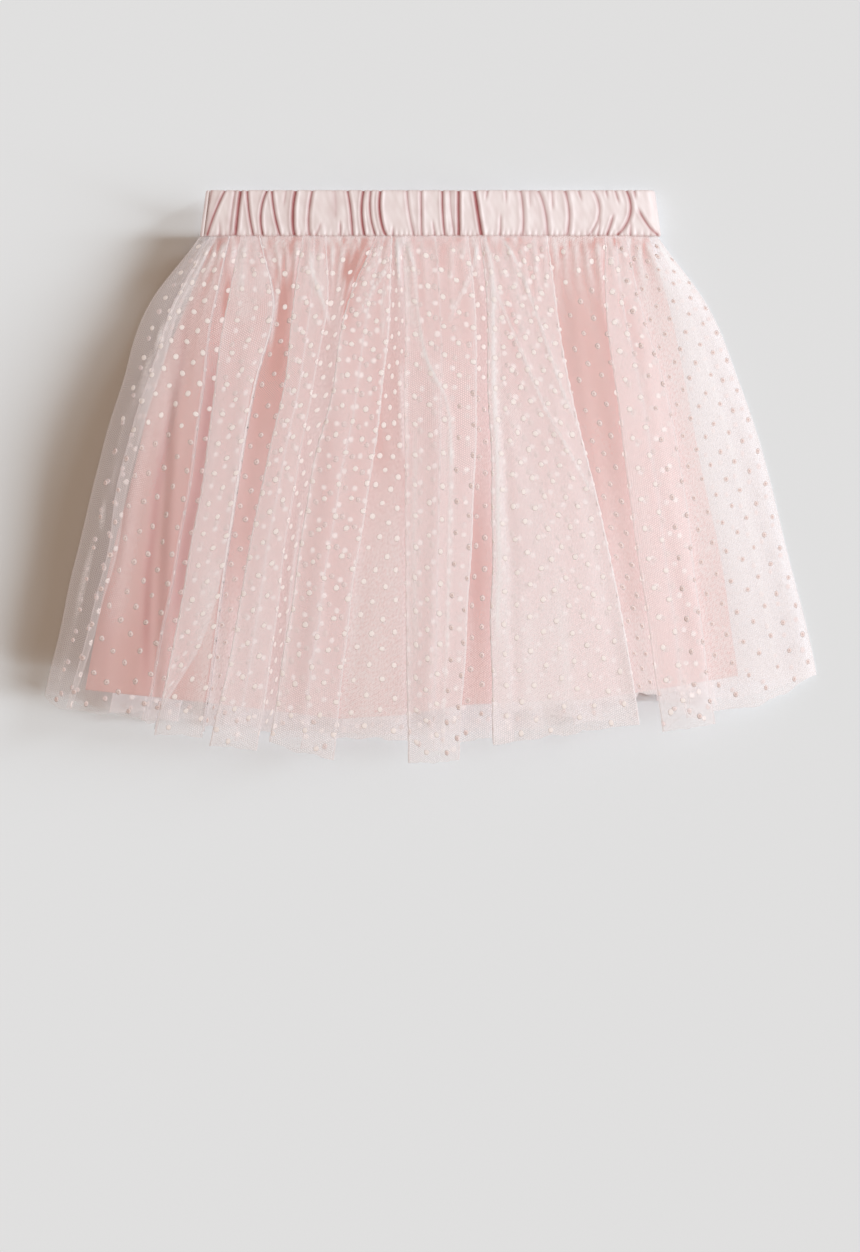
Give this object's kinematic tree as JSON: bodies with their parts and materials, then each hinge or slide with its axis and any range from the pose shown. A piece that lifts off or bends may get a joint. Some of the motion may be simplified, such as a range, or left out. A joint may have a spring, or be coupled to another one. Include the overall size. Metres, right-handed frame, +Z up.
{
  "type": "gathered tulle skirt laid flat",
  "caption": "Child's gathered dotted tulle skirt with an elasticated satin waistband and a plain A-line lining, laid flat on its back.",
  "frame": {"origin": "centre of the skirt's outline on the surface that it lies on", "axes": "+Z up from the surface, +Y from the hem to the waist, +X across the front to the wearer's left"},
  "size_m": [0.4185, 0.3078, 0.0164],
  "materials": {
    "satin_band": "pale pink gathered satin with a soft sheen",
    "lining_cloth": "smooth salmon pink plain weave",
    "dotted_tulle": "sheer pale pink net with small raised cream dots"
  },
  "bodies": {
    "root": {"waistband_front": "satin_band", "waistband_back": "satin_band", "lining_front": "lining_cloth", "lining_back": "lining_cloth", "tulle_front": "dotted_tulle", "tulle_back": "dotted_tulle"}
  },
  "joints": []
}
